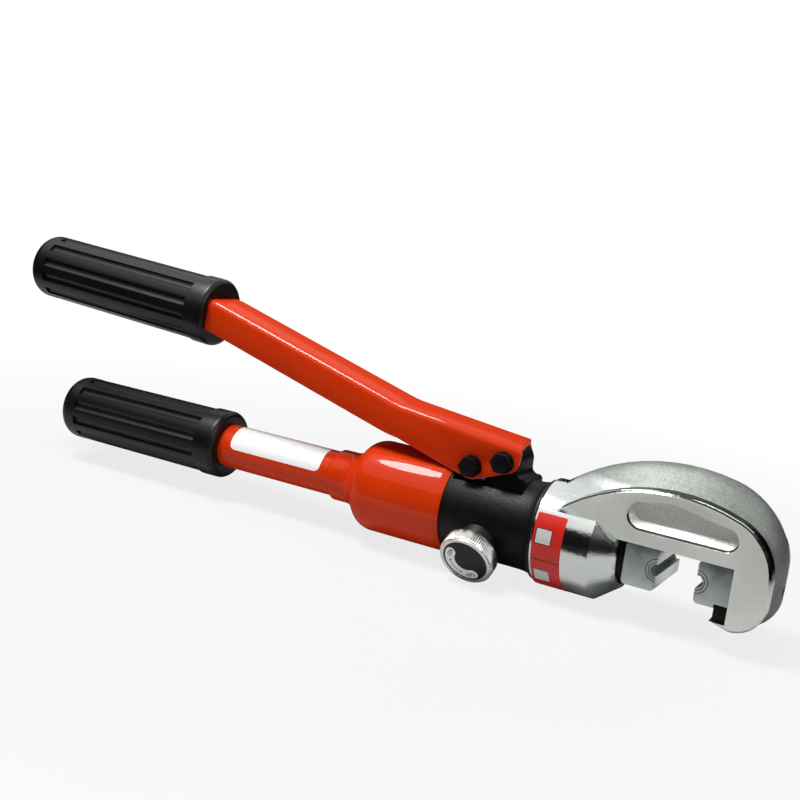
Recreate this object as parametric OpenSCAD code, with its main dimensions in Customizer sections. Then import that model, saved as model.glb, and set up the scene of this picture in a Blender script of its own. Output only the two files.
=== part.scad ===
// Hand hydraulic crimping tool: C-shaped press head, pump body, oil reservoir and two handles.
// The tool's axis runs along X. The head points to +X, the moving handle lies above it at +Z,
// and the release knob is on the -Y side. The origin is under the middle of the tool's box.

/* [Head] */
// Diameter of the press cylinder
head_d = 40; // [37:0.5:46]
// Length of the straight press cylinder
head_cyl_l = 22.5; // [19:0.5:26]
// Length of the cone in front of the press cylinder
head_cone_l = 8.5; // [6:0.5:10]
// Diameter of the small end of the cone
head_cone_d = 27; // [26:0.5:31]
// Thickness of the head across its two flat pads
head_t = 32; // [28:0.5:36]
// Height of the head's crown above the tool's axis
crown_h = 35.6; // [34:0.2:40]
// Radius of the crown's long arc
crown_r = 70; // [60:1:80]
// Distance from the back of the throat to the highest place of the crown
crown_back = 17.5; // [14:0.5:20]
// Radius of the head's upper front
nose_r = 28.3; // [25:0.1:31]
// Radius of the head's lower tip
tip_r = 11; // [9.5:0.5:12]
// Depth of the lower tip below the tool's axis
tip_low = 14; // [13:0.2:16]
// Thickness of the head in front of the throat
tip_t = 14.2; // [12:0.2:17]
// Height of the throat's roof above the tool's axis
throat_h = 7.7; // [7:0.1:9]
// Length of the lip under the front die
lip_l = 6; // [4:0.25:7]
// Thickness of the lip under the front die
lip_t = 2; // [1.5:0.1:3]
// Height of the raised pads above the rim's edge
pad_step = 6; // [4:0.25:7]
// Height of the crown above the pads' upper edge
pad_drop = 7.6; // [6:0.2:9]
// Distance of the pads' front edge behind the head's front
pad_front = 1.8; // [1:0.1:2.5]
// Radius of the pads' long upper arc
pad_crown_r = 64; // [58:1:70]
// Radius of the pads' upper front
pad_nose_r = 20; // [17:0.5:24]
// Width of the chamfer round the pads
pad_edge = 0.9; // [0.5:0.1:1.5]
// Depth of the pockets in the pads
pocket_depth = 3; // [2:0.25:4]
// Height of the pockets' lower edge above the throat's roof
pocket_sill = 4.7; // [4:0.1:6]
// Radius of the pockets' rear end
pocket_rear_r = 5.2; // [4.5:0.1:6]
// Radius of the pockets' front end
pocket_front_r = 4.2; // [3.5:0.1:5]
// Slope of the pockets' lower wall, measured across it
pocket_draft = 3.2; // [2:0.1:3.8]

/* [Ram and dies] */
// Diameter of the ram
ram_d = 24; // [22:0.25:24]
// Length of the ram's nose in front of the press cylinder at rest
ram_nose_l = 3.2; // [2.8:0.1:5]
// Length of each die along the tool's axis
die_l = 12; // [10:0.25:14]
// Width of each die across the tool
die_w = 30; // [26:0.5:31]
// Height of each die above the tool's axis
die_top = 7.5; // [6:0.1:7.6]
// Depth of the moving die below the tool's axis
moving_die_low = 7.6; // [7:0.1:9]
// Depth of the fixed die below the tool's axis
fixed_die_low = 7.4; // [6.8:0.1:8]
// Gap between the two dies with the ram at rest
die_gap = 13.8; // [12:0.2:16]
// Width across the flats of the six-sided nest between the closed dies
nest_af = 4.4; // [3:0.2:8]
// Radius of the dies' lower corners
die_corner_r = 1.6; // [0.8:0.1:2]
// Diameter of the moving die's shank
shank_d = 8; // [6:0.25:10]
// Length of the moving die's shank
shank_l = 6; // [4:0.25:7]
// Diameter of the ball that holds the fixed die
detent_d = 4; // [3:0.25:5]

/* [Pump body] */
// Diameter of the pump body
pump_d = 34; // [32:0.5:36]
// Length of the pump body between the head and the reservoir
pump_l = 38; // [36:0.5:42]
// Diameter of the pump body's front flange
flange_d = 38; // [36:0.5:39.5]
// Thickness of the pump body's front flange
flange_t = 1; // [0.5:0.1:2]
// Length of the flare behind the front flange
flare_l = 7; // [5:0.5:8]
// Diameter of the threaded joint between pump body and head
joint_d = 33; // [31.5:0.25:33.5]
// Length of the threaded joint between pump body and head
joint_l = 8; // [7:0.25:9]
// Height of the flat on top of the pump body
flat_h = 13; // [12.5:0.1:13.4]
// Distance of the lever pivot behind the head
pivot_back = 17.8; // [17:0.1:19]
// Height of the lever pivot above the tool's axis
pivot_h = 23.3; // [23:0.1:25]
// Radius of the pivot lug's round top
lug_r = 4.7; // [4.3:0.05:4.9]
// Distance of the plunger behind the head
plunger_back = 30.4; // [30:0.1:32]
// Height of the plunger bolt above the tool's axis at rest
plunger_bolt_h = 19.1; // [18.8:0.1:20]
// Diameter of the plunger
plunger_d = 8; // [6:0.25:8.5]
// Depth of the plunger bore below the tool's axis
plunger_low = 11; // [10:0.25:12]
// Depth of the oil gallery below the tool's axis
gallery_low = 9; // [8:0.25:9.75]
// Diameter of the check valve balls
check_ball_d = 3.2; // [2.5:0.1:3.5]

/* [Release valve] */
// Angle of the knob's axis below the horizontal
knob_tilt = 29; // [20:1:40]
// Distance of the knob behind the head
knob_back = 21.7; // [20:0.1:26]
// Diameter of the knob
knob_d = 21.4; // [18:0.2:24]
// Thickness of the knob
knob_t = 6.2; // [5:0.2:8]
// Distance of the knob's face from the tool's axis
knob_face = 26.8; // [25.5:0.2:30]
// Number of ridges of the knob's knurl
knurl_count = 80; // [40:2:90]
// Depth of the knob's knurl
knurl_depth = 0.35; // [0.2:0.05:0.6]
// Diameter of the disc in the knob's face
disc_d = 17.4; // [14:0.2:17.6]
// Diameter of the release spindle
spindle_d = 8; // [6:0.25:9]
// Diameter of the boss under the knob
boss_d = 16; // [14:0.25:18]

/* [Reservoir and lower handle] */
// Diameter of the reservoir
bell_d = 36.6; // [35.6:0.1:38]
// Length of the reservoir's straight part
bell_l = 33.5; // [28:0.5:40]
// Length of the reservoir's shoulder
shoulder_l = 14.5; // [12:0.5:18]
// Diameter of the reservoir's neck
neck_d = 20.8; // [20.4:0.1:23]
// Length of the reservoir's neck
neck_l = 6.5; // [5:0.5:10]
// Wall thickness of the reservoir
bell_wall = 2.5; // [2:0.1:3]
// Diameter of the handle tube
tube_d = 18.4; // [17.6:0.2:18.8]
// Wall thickness of the handle tube
tube_wall = 1.8; // [1.2:0.1:2.2]
// Length of tube seen between the reservoir and the grip
tube_seen = 55; // [45:0.5:70]
// Length of the lower grip
lower_grip_l = 86.5; // [80:0.5:110]

/* [Lever] */
// Width of the lever's channel
lever_w = 20; // [19:0.25:22]
// Sheet thickness of the lever's channel
lever_sheet = 1.8; // [1.5:0.05:2]
// Outer radius of the channel's top corners
lever_edge_r = 3; // [2.2:0.1:3.5]
// Depth of the channel along the arm
lever_depth = 13; // [12:0.1:13.5]
// Depth of the channel at its front end
lever_front_depth = 21.2; // [20.6:0.1:21.8]
// Length of the channel in front of the pivot
lever_nose_l = 6.5; // [6:0.1:7]
// Height of the channel's top above the pivot at its front end
lever_cover = 6.9; // [6.8:0.05:8]
// Length of the channel's front part
lever_front_l = 54; // [50:0.5:58]
// Tilt of the channel's front part
lever_front_tilt = 6.3; // [5:0.1:7]
// Length of the lever's arm
lever_arm_l = 95; // [85:0.5:110]
// Tilt of the lever's arm
lever_arm_tilt = 15.4; // [14:0.1:17]
// Tilt of the lever's grip
lever_grip_tilt = 3.7; // [0:0.1:8]
// How far the channel's top is cut back at its far front corner
lever_skew = 4.5; // [3:0.5:5]
// Length of the lever's grip
lever_grip_l = 99.5; // [90:1:120]

/* [Grips] */
// Diameter of the grips
grip_d = 27.8; // [27.4:0.2:30]
// Length of the plain bands at the ends of the grips
band_l = 9; // [6:0.5:12]
// Height of the grips' front collar above the grip
collar_h = 0.5; // [0.2:0.1:0.8]
// Number of flutes round each grip
flute_count = 12; // [8:1:14]
// Depth of the flutes
flute_depth = 1.1; // [0.6:0.1:1.2]
// Radius of the flutes
flute_r = 2.6; // [1.6:0.1:2.8]
// Radius of the grips' front edge
grip_lead_r = 2.3; // [1.5:0.1:3]
// Radius of the grips' rear edge
grip_edge_r = 5; // [3:0.5:7]
// Wall at the closed end of the grips
grip_end_t = 3; // [2:0.25:5]

/* [Fasteners and seals] */
// Diameter of the two lever bolts
bolt_d = 4; // [3.5:0.25:5]
// Width across the flats of bolt heads and nuts
hex_af = 7; // [6:0.25:8]
// Height of the bolt heads
hex_h = 2.8; // [2.4:0.1:4]
// Height of the nuts
nut_h = 3.2; // [2.4:0.1:4]
// Diameter of the bolt washers
washer_d = 8.4; // [7.6:0.1:9]
// Thickness of the bolt washers
washer_t = 1.1; // [0.8:0.1:1.6]
// Width of the seal rings
seal_w = 2.4; // [1.8:0.1:2.6]

/* [Clearances] */
// Radial clearance of sliding and turning fits
run_gap = 0.05; // [0.02:0.01:0.1]
// Gap between pieces that move past each other
move_gap = 0.4; // [0.3:0.05:0.5]
// Gap round pieces that are held without pressure
hold_gap = 0.1; // [0.05:0.01:0.2]

/* [Hidden] */

$fn = 64;
far = 200;
eps = 0.01;

// Colours
chrome = [0.80, 0.81, 0.82];
steel = [0.62, 0.63, 0.65];
black = [0.06, 0.06, 0.07];
rubber = [0.10, 0.10, 0.10];
orange = [0.89, 0.20, 0.07];
brass = [0.78, 0.62, 0.30];

// Stations along the axis, from the plane between pump body and head
throat_x0 = head_cyl_l + head_cone_l;
ram_x1 = throat_x0 + ram_nose_l;
moving_die_x1 = ram_x1 + die_l;
fixed_die_x0 = moving_die_x1 + die_gap;
throat_x1 = fixed_die_x0 + die_l;
head_x1 = throat_x1 + tip_t;
ram_x0 = joint_l + move_gap;
bell_x0 = -pump_l;
bell_x1 = bell_x0 - bell_l;
shoulder_x1 = bell_x1 - shoulder_l;
neck_x1 = shoulder_x1 - neck_l;
grip_x0 = neck_x1 - tube_seen;
grip_x1 = grip_x0 - lower_grip_l;
tube_x0 = shoulder_x1 + bell_wall;
plug_flange_t = 1.5;
tube_x1 = grip_x1 + grip_end_t + hold_gap + plug_flange_t;

// Head: where the web starts in the press cylinder, and the pockets' places
web_x0 = 1;
rim_power = 1.4;
edge_c = 0.8;
pocket_back = 7;
pocket_drop = 11.1;
pocket_top_r = 4;

// Ram, bores and return spring
ram_r = ram_d / 2;
ram_bore_r = ram_r + run_gap;
joint_r = joint_d / 2;
head_seal_x = joint_l - 2;
head_groove_r = joint_r - 1.8;
ram_wall = 5;
ram_edge = 2;
ram_groove = 2;
cavity_r = ram_r - ram_wall;
cavity_x1 = ram_x1 - shank_l - ram_wall;
spring_wire = 1.6;
spring_room = 1.5;
spring_r = cavity_r - spring_room;
anchor_d = 6;
anchor_l = 10;
anchor_head_t = 2.5;
shank_r = shank_d / 2;
detent_r = detent_d / 2;
detent_depth = detent_r * 0.6;
detent_x = throat_x1 - detent_depth + detent_r;
detent_screw_l = 6;
detent_wire = 0.6;
screw_sink = 0.4;
socket_depth = 2;
ram_seal_back = 3;
ram_seal_x = ram_x0 + ram_seal_back;

// Lever pivots and the lever's top line
pivot_x = -pivot_back;
plunger_x = -plunger_back;
bolt_r = bolt_d / 2;
channel_in = lever_w / 2 - lever_sheet;
function heading(a) = [-cos(a), sin(a)];
function across(a) = [sin(a), cos(a)];
lever_p0 = [pivot_x + lever_nose_l, pivot_h + lever_cover];
lever_p1 = lever_p0 + lever_front_l * heading(lever_front_tilt);
lever_p2 = lever_p1 + lever_arm_l * heading(lever_arm_tilt);
bend_front_r = 40;
bend_rear_r = 25;
bend_rear_l = bend_rear_r * tan((lever_arm_tilt - lever_grip_tilt) / 2);
lever_mouth = lever_p2 + (bend_rear_l + hold_gap) * heading(lever_grip_tilt);
grip_axis = lever_mouth - lever_depth / 2 * across(lever_grip_tilt);
tang_l = lever_grip_l - grip_end_t - hold_gap;
lever_p3 = lever_mouth + tang_l * heading(lever_grip_tilt);

// Plunger: the eye's slot gives room for the lever bolt's arc
eye_half = 5.2;
eye_slot_play = 0.7;
eye_h = 10;
gland_wall = 1.8;
gland_r = plunger_d / 2 + gland_wall;
gland_h = 6;
plunger_seal_h = 2.5;

// Release valve
knob_r = knob_d / 2;
spindle_r = spindle_d / 2;
knob_x = -knob_back;
knob_base = knob_face - knob_t;
boss_top = knob_base - move_gap;
disc_t = 0.9;
release_ball_r = 2;
release_seat = 1.2;
spindle_in = release_seat + release_ball_r * 2 + hold_gap;
spindle_neck_r = spindle_r - 1;
spindle_groove_r = spindle_r - 1.2;
spindle_seal_back = 6;
spindle_seal_z = boss_top - spindle_seal_back;

// Valves in the oil gallery
check_r = check_ball_d / 2;
valve_wire = 0.5;
check_bore_r = check_r + move_gap;
port_r = check_r - valve_wire;
plug_bore_r = port_r - 0.3;
valve_seat_t = 0.8;
suction_l = 9;
delivery_seat = plunger_x + plunger_d / 2 + valve_seat_t;
suction_seat = plunger_x - plunger_d / 2 - suction_l;
valve_plug_l = 5;
relief_x = -8;
relief_seat = check_bore_r + 1.2;

// Reservoir and bladder
bell_r = bell_d / 2;
neck_r = neck_d / 2;
tube_r = tube_d / 2;
tube_in_r = tube_r - tube_wall;
spigot_r = bell_r - bell_wall - hold_gap;
spigot_l = 23;
bell_lead = 3;
nipple_r = 8;
nipple_l = 6;
bladder_wall = 1.5;
bladder_gap = 0.5;
bladder_fold = 4;
bladder_ramp = 3;
bladder_back = 2;
clamp_w = 3;
plug_l = 7;
bladder_x1 = neck_x1 - tube_seen * 0.8;
clamp_t = 1.4;

// Grips
grip_r = grip_d / 2;

// The tool's box, which places its axis over the origin
grip_end = grip_axis + (lever_grip_l - grip_edge_r) * heading(lever_grip_tilt);
corner_r = grip_r - grip_edge_r;
box_x0 = grip_end[0] - corner_r * sin(lever_grip_tilt) - grip_edge_r;
box_y0 = -(knob_face * cos(knob_tilt) + knob_r * sin(knob_tilt));
box_y1 = max(head_d, pump_d, bell_d) / 2;
box_low = max(head_d / 2, bell_r, tip_low, knob_face * sin(knob_tilt) + knob_r * cos(knob_tilt));
axis_at = [-(box_x0 + head_x1) / 2, -(box_y0 + box_y1) / 2, box_low];

// Puts a piece that is drawn about the tool's axis in its place
module on_axis() {
    translate(axis_at) children();
}

// A solid turned about the tool's axis from points [x, radius]
module turned(points) {
    rotate([0, 90, 0]) rotate_extrude($fn = 96) polygon([for (p = points) [p[1], p[0]]]);
}

// A round bar or bore along the tool's axis from x0 to x1
module bar(x0, x1, r) {
    translate([x0, 0, 0]) rotate([0, 90, 0]) cylinder(h = x1 - x0, r = r);
}

// A sleeve along the tool's axis
module sleeve(x0, x1, r_out, r_in) {
    turned([[x0, r_in], [x1, r_in], [x1, r_out], [x0, r_out]]);
}

// A round bar across the tool from y0 to y1 at [x, z]
module cross_bar(at, y0, y1, r) {
    translate([at[0], y1, at[1]]) rotate([90, 0, 0]) cylinder(h = y1 - y0, r = r);
}

// A six-sided bar across the tool from y0 to y1 at [x, z]
module cross_hex(at, y0, y1, af) {
    translate([at[0], y1, at[1]]) rotate([90, 0, 0]) cylinder(h = y1 - y0, d = af / cos(30), $fn = 6);
}

// Turns +Z to the release knob's axis
module on_knob_axis() {
    translate([knob_x, 0, 0]) rotate([90 + knob_tilt, 0, 0]) children();
}

// A flat side profile in x and z, drawn through the tool from y0 to y1
module side_plate(points, y0, y1) {
    translate([0, y1, 0]) rotate([90, 0, 0]) linear_extrude(y1 - y0) polygon(points);
}

// The head's outline in x and z from the crown (k = 0) to the pads (k = 1), drawn in by trim
function head_outline(k, trim) =
    let (
        n = 12,
        arc_r = crown_r + (pad_crown_r - crown_r) * k,
        arc_at = [throat_x0 + crown_back, crown_h - pad_drop * k - arc_r],
        bow_r = nose_r + (pad_nose_r - nose_r) * k,
        front = head_x1 - pad_front * k,
        bow_x = front - bow_r,
        bow_z = arc_at[1] + sqrt(pow(arc_r - bow_r, 2) - pow(bow_x - arc_at[0], 2)),
        a0 = asin((web_x0 - arc_at[0]) / arc_r),
        a1 = asin((bow_x - arc_at[0]) / (arc_r - bow_r))
    )
    concat(
        [for (i = [0 : n]) let (a = a0 + (a1 - a0) * i / n) arc_at + (arc_r - trim) * [sin(a), cos(a)]],
        [for (i = [1 : n]) let (a = a1 + (90 - a1) * i / n)
            [bow_x, bow_z] + (bow_r - trim) * [sin(a), cos(a)]],
        [for (i = [0 : n]) let (a = 90 + 90 * i / n)
            [front - tip_r, tip_r - tip_low] + (tip_r - trim) * [sin(a), cos(a)]]
    );

// One layer of the head from -half_t to half_t
module head_layer(half_t, k, trim) {
    side_plate(head_outline(k, trim), -half_t, half_t);
}

// The head's thick web: a sloping rim with a round ridge, and the raised pads
module head_web() {
    n = 6;
    rim_half = head_t / 2 - pad_step;
    hull() for (i = [1 : n])
        head_layer(rim_half * i / n, pow((i - 1) / (n - 1), rim_power), 0);
    hull() {
        head_layer(head_t / 2 - pad_edge, 1, 0);
        head_layer(head_t / 2, 1, pad_edge);
    }
}

// What is cut off the web behind the throat, below the place where it meets the press cylinder
function web_cut() =
    let (meet_h = sqrt(pow(head_d / 2, 2) - pow(head_t / 2, 2)))
    [[-far, meet_h], [head_cyl_l, meet_h], [throat_x0, throat_h], [throat_x0, -far], [-far, -far]];

// A pocket in one pad, sunk from the plane y = 0 towards +Y, with a sloping lower wall
module pocket() {
    sill = throat_h + pocket_sill;
    top = crown_h - pocket_drop;
    discs = [
        [throat_x0 + pocket_back, sill + pocket_rear_r, pocket_rear_r],
        [throat_x1 - pocket_front_r, sill + pocket_front_r, pocket_front_r],
        [throat_x0 + crown_back, top - pocket_top_r, pocket_top_r]
    ];
    hull() for (d = discs) {
        cross_bar([d[0], d[1]], -1, 0, d[2], $fn = 48);
        cross_bar([d[0], d[1] + pocket_draft / 2], -1, pocket_depth, d[2] - pocket_draft / 2, $fn = 48);
    }
}

module c_head() {
    color(chrome) on_axis() difference() {
        union() {
            turned([
                [0, 0], [throat_x0, 0], [throat_x0, head_cone_d / 2],
                [head_cyl_l, head_d / 2], [edge_c, head_d / 2], [0, head_d / 2 - edge_c]
            ]);
            difference() {
                head_web();
                side_plate(web_cut(), -far, far);
            }
        }
        throat_cut();
        for (side = [0, 1])
            mirror([0, side, 0]) translate([0, -head_t / 2, 0]) pocket();
        bar(-eps, joint_l, joint_r);
        bar(joint_l - eps, ram_x1 + die_gap + move_gap, ram_bore_r);
        bar(throat_x1 - eps, head_x1 + eps, detent_r + hold_gap);
    }
}

// The open throat, with the lip left under the front die
module throat_cut() {
    translate([throat_x0, -far, lip_t - tip_low])
        cube([throat_x1 - throat_x0, 2 * far, throat_h + tip_low - lip_t]);
    translate([throat_x0, -far, -far]) cube([throat_x1 - lip_l - throat_x0, 2 * far, far]);
}

module ram() {
    groove_r = ram_r - ram_groove;
    color(steel) on_axis() difference() {
        turned([
            [ram_x0, 0], [ram_x1, 0], [ram_x1, ram_r - ram_edge], [ram_x1 - ram_edge, ram_r],
            [ram_seal_x + seal_w, ram_r], [ram_seal_x + seal_w, groove_r], [ram_seal_x, groove_r],
            [ram_seal_x, ram_r], [ram_x0, ram_r]
        ]);
        bar(ram_x0 - eps, cavity_x1, cavity_r);
        bar(ram_x1 - shank_l - hold_gap, ram_x1 + eps, shank_r + hold_gap);
    }
}

module ram_seal() {
    color(black) on_axis()
        sleeve(ram_seal_x + hold_gap, ram_seal_x + seal_w - hold_gap, ram_r, ram_r - ram_groove + hold_gap);
}

// A round lower corner of a die about [x, z], from the angle a0 on
function die_corner(at, a0) =
    let (n = 6)
    [for (i = [0 : n]) let (a = a0 + 90 * i / n) at + die_corner_r * [cos(a), sin(a)]];

// A die block from x0 to x1 with half of the six-sided nest in the face at nest_x
module die_block(x0, x1, low, nest_x) {
    difference() {
        side_plate(concat(
            die_corner([x0 + die_corner_r, die_corner_r - low], 180),
            die_corner([x1 - die_corner_r, die_corner_r - low], 270),
            [[x1, die_top - edge_c], [x1 - edge_c, die_top], [x0 + edge_c, die_top], [x0, die_top - edge_c]]
        ), -die_w / 2, die_w / 2);
        cross_hex([nest_x, 0], -die_w, die_w, nest_af);
    }
}

module moving_die() {
    color(steel) on_axis() union() {
        die_block(ram_x1, moving_die_x1, moving_die_low, moving_die_x1);
        bar(ram_x1 - shank_l, ram_x1 + 1, shank_r);
    }
}

// The keeper's room: the gap over the lip, let into the fixed die's lower edge
keeper_x0 = throat_x1 - lip_l + 1.2;
keeper_rise = 1.3;

module fixed_die() {
    color(steel) on_axis() difference() {
        die_block(fixed_die_x0, throat_x1, fixed_die_low, fixed_die_x0);
        bar(throat_x1 - detent_depth - hold_gap, throat_x1 + eps, detent_r + hold_gap);
        translate([keeper_x0 - hold_gap, -far, -far])
            cube([far, 2 * far, far - fixed_die_low + keeper_rise + hold_gap]);
    }
}

// The dark block that closes the gap between the fixed die and the lip
module die_keeper() {
    low = lip_t - tip_low;
    color(black) on_axis() translate([keeper_x0, -die_w / 2, low])
        cube([throat_x1 - hold_gap - keeper_x0, die_w, keeper_rise - fixed_die_low - low]);
}

module detent_ball() {
    color(chrome) on_axis() translate([detent_x, 0, 0]) sphere(r = detent_r);
}

module detent_spring() {
    color(steel) on_axis()
        sleeve(detent_x + detent_r, head_x1 - detent_screw_l - hold_gap, detent_r, detent_r - detent_wire);
}

module detent_screw() {
    color(black) on_axis() difference() {
        bar(head_x1 - detent_screw_l, head_x1 - screw_sink, detent_r);
        translate([head_x1 - screw_sink - socket_depth, 0, 0]) rotate([0, 90, 0])
            cylinder(h = far, r = detent_r / 2, $fn = 6);
    }
}

module return_spring() {
    color(steel) on_axis()
        sleeve(joint_l + anchor_head_t, cavity_x1 - hold_gap, spring_r, spring_r - spring_wire);
}

module spring_anchor() {
    color(steel) on_axis() union() {
        bar(joint_l - anchor_l, joint_l + anchor_head_t, anchor_d / 2);
        bar(joint_l, joint_l + anchor_head_t, spring_r);
    }
}

// Outline of the pivot lug in x and z: its round top is drawn apart, and a toe runs out in front
lug_toe_x = pivot_x + lever_nose_l + 2.8;
lug_toe_h = flat_h + 5;
lug_toe_r = 2.6;
lug_root = flat_h - 1;

function lug_outline() = concat(
    [[plunger_x + eye_half + edge_c, lug_root], [pivot_x - lug_r, pivot_h], [pivot_x + lug_r, pivot_h]],
    [for (i = [0 : 6]) let (a = 180 + 15 * i)
        [pivot_x + lug_r + lug_toe_r * (1 + cos(a)), lug_toe_h + lug_toe_r * (1 + sin(a))]],
    [[lug_toe_x - 1, lug_toe_h], [lug_toe_x, lug_toe_h - 1], [lug_toe_x, lug_root]]
);

// The hollow flare from the pump body up to its front flange
function flare() =
    let (n = 10, rise = (flange_d - pump_d) / 2)
    [for (i = [n : -1 : 0]) let (a = 90 * i / n)
        [flare_l * (sin(a) - 1) - flange_t, pump_d / 2 + rise * (1 - cos(a))]];

// The pump body's outside, with the lever's lug and the boss of the release valve
module pump_outside() {
    lug_half = channel_in - move_gap;
    flat_x0 = bell_x0 + edge_c;
    difference() {
        union() {
            turned(concat(
                [[bell_x0 - spigot_l - nipple_l, 0], [joint_l, 0], [joint_l, joint_r - run_gap],
                    [0, joint_r - run_gap], [0, flange_d / 2]],
                flare(),
                [[bell_x0, pump_d / 2], [bell_x0, spigot_r], [bell_x0 - spigot_l, spigot_r],
                    [bell_x0 - spigot_l, nipple_r], [bell_x0 - spigot_l - nipple_l, nipple_r]]
            ));
            on_knob_axis() cylinder(h = boss_top, d = boss_d);
        }
        translate([flat_x0, -far, flat_h]) cube([lug_toe_x - flat_x0, 2 * far, far]);
    }
    side_plate(lug_outline(), -lug_half, lug_half);
    cross_bar([pivot_x, pivot_h], -lug_half, lug_half, lug_r);
}

// A bore along the oil gallery from x0 to x1
module gallery(x0, x1, r) {
    translate([0, 0, -gallery_low]) bar(x0, x1, r);
}

module pump_body() {
    color(black) on_axis() difference() {
        pump_outside();
        cross_bar([pivot_x, pivot_h], -far, far, bolt_r + run_gap);
        translate([plunger_x, 0, -plunger_low]) cylinder(h = far, r = plunger_d / 2 + run_gap);
        translate([plunger_x, 0, flat_h - gland_h - plunger_seal_h])
            cylinder(h = far, r = gland_r + run_gap);
        gallery(-far, joint_l + eps, port_r);
        gallery(suction_seat, plunger_x, check_bore_r);
        gallery(delivery_seat, joint_l + eps, check_bore_r);
        translate([relief_x, 0, -gallery_low]) rotate([-90, 0, 0]) cylinder(h = far, r = port_r);
        translate([relief_x, relief_seat, -gallery_low]) rotate([-90, 0, 0])
            cylinder(h = far, r = check_bore_r);
        bar(joint_l - anchor_l - 1, joint_l + eps, anchor_d / 2 + hold_gap);
        on_knob_axis() translate([0, 0, release_seat])
            cylinder(h = far, r = spindle_r + run_gap);
        translate([knob_x, 0, -gallery_low]) cylinder(h = gallery_low, r = port_r);
        head_seal_groove();
    }
}

// The ring groove in the pump body's front joint
module head_seal_groove() {
    sleeve(head_seal_x - seal_w, head_seal_x, joint_r + 1, head_groove_r);
}

module head_seal() {
    color(rubber) on_axis()
        sleeve(head_seal_x - seal_w + hold_gap, head_seal_x - hold_gap,
            joint_r - run_gap, head_groove_r + hold_gap);
}

module pump_plunger() {
    eye_w = 2 * (channel_in - move_gap);
    slot_r = bolt_r + move_gap - hold_gap;
    color(steel) on_axis() difference() {
        union() {
            translate([plunger_x, 0, 1 - plunger_low])
                cylinder(h = plunger_bolt_h + plunger_low - 1, d = plunger_d);
            translate([plunger_x - eye_half, -eye_w / 2, plunger_bolt_h - eye_h / 2])
                cube([2 * eye_half, eye_w, eye_h]);
        }
        for (play = [-eye_slot_play, eye_slot_play / 2])
            cross_bar([plunger_x + play, plunger_bolt_h], -far, far, slot_r);
        translate([plunger_x - eye_slot_play, -far, plunger_bolt_h - slot_r])
            cube([1.5 * eye_slot_play, 2 * far, 2 * slot_r]);
    }
}

module plunger_gland() {
    color(brass) on_axis() translate([plunger_x, 0, flat_h - gland_h]) difference() {
        cylinder(h = gland_h, r = gland_r);
        translate([0, 0, -1]) cylinder(h = far, r = plunger_d / 2 + run_gap);
    }
}

module plunger_seal() {
    color(rubber) on_axis()
        translate([plunger_x, 0, flat_h - gland_h - plunger_seal_h + hold_gap]) difference() {
            cylinder(h = plunger_seal_h - 2 * hold_gap, r = gland_r);
            translate([0, 0, -1]) cylinder(h = far, r = plunger_d / 2 + run_gap);
        }
}

// A valve ball that rests on the seat at x
module gallery_ball(x) {
    translate([x + check_r, 0, -gallery_low]) sphere(r = check_r);
}

// A valve spring between two places in the gallery
module gallery_spring(x0, x1) {
    translate([0, 0, -gallery_low]) sleeve(x0, x1, check_r, check_r - valve_wire);
}

module suction_ball() {
    color(chrome) on_axis() gallery_ball(suction_seat);
}

module suction_spring() {
    color(steel) on_axis()
        gallery_spring(suction_seat + check_ball_d, plunger_x - plunger_d / 2 - move_gap);
}

module delivery_ball() {
    color(chrome) on_axis() gallery_ball(delivery_seat);
}

module delivery_spring() {
    color(steel) on_axis()
        gallery_spring(delivery_seat + check_ball_d, joint_l - valve_plug_l - hold_gap);
}

module delivery_plug() {
    color(steel) on_axis() translate([0, 0, -gallery_low])
        sleeve(joint_l - valve_plug_l, joint_l - hold_gap, check_bore_r - run_gap, plug_bore_r);
}

// Puts a relief valve piece on the valve's own axis, from the seat outwards
module on_relief_axis() {
    translate([relief_x, relief_seat, -gallery_low]) rotate([-90, 0, 0]) children();
}

relief_l = sqrt(pow(pump_d / 2, 2) - pow(gallery_low + check_bore_r, 2)) - relief_seat;
relief_screw_l = 4;

module relief_ball() {
    color(chrome) on_axis() on_relief_axis() translate([0, 0, check_r]) sphere(r = check_r);
}

module relief_spring() {
    spring_l = relief_l - relief_screw_l - check_ball_d - hold_gap;
    color(steel) on_axis() on_relief_axis() translate([0, 0, check_ball_d]) difference() {
        cylinder(h = spring_l, r = check_r);
        translate([0, 0, -1]) cylinder(h = far, r = check_r - valve_wire);
    }
}

module relief_screw() {
    color(steel) on_axis() on_relief_axis() translate([0, 0, relief_l - relief_screw_l])
        difference() {
            cylinder(h = relief_screw_l, r = check_bore_r - run_gap);
            translate([0, 0, relief_screw_l - socket_depth]) cylinder(h = far, r = check_r / 2, $fn = 6);
        }
}

module release_ball() {
    color(chrome) on_axis() on_knob_axis()
        translate([0, 0, release_seat + release_ball_r]) sphere(r = release_ball_r);
}

module release_spindle() {
    seal_z = spindle_seal_z;
    color(steel) on_axis() on_knob_axis() rotate_extrude() polygon([
        [0, spindle_in], [spindle_r, spindle_in], [spindle_r, seal_z], [spindle_groove_r, seal_z],
        [spindle_groove_r, seal_z + seal_w], [spindle_r, seal_z + seal_w], [spindle_r, knob_base],
        [spindle_neck_r, knob_base], [spindle_neck_r, knob_face - 2 * disc_t],
        [0, knob_face - 2 * disc_t]
    ]);
}

module release_seal() {
    color(rubber) on_axis() on_knob_axis() translate([0, 0, spindle_seal_z + hold_gap]) difference() {
        cylinder(h = seal_w - 2 * hold_gap, r = spindle_r);
        translate([0, 0, -1]) cylinder(h = far, r = spindle_groove_r + hold_gap);
    }
}

// The knob's knurled outline
function knurl_outline() = [
    for (i = [0 : 2 * knurl_count - 1])
        let (r = knob_r - (i % 2) * knurl_depth, a = i * 180 / knurl_count)
        [r * cos(a), r * sin(a)]
];

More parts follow.
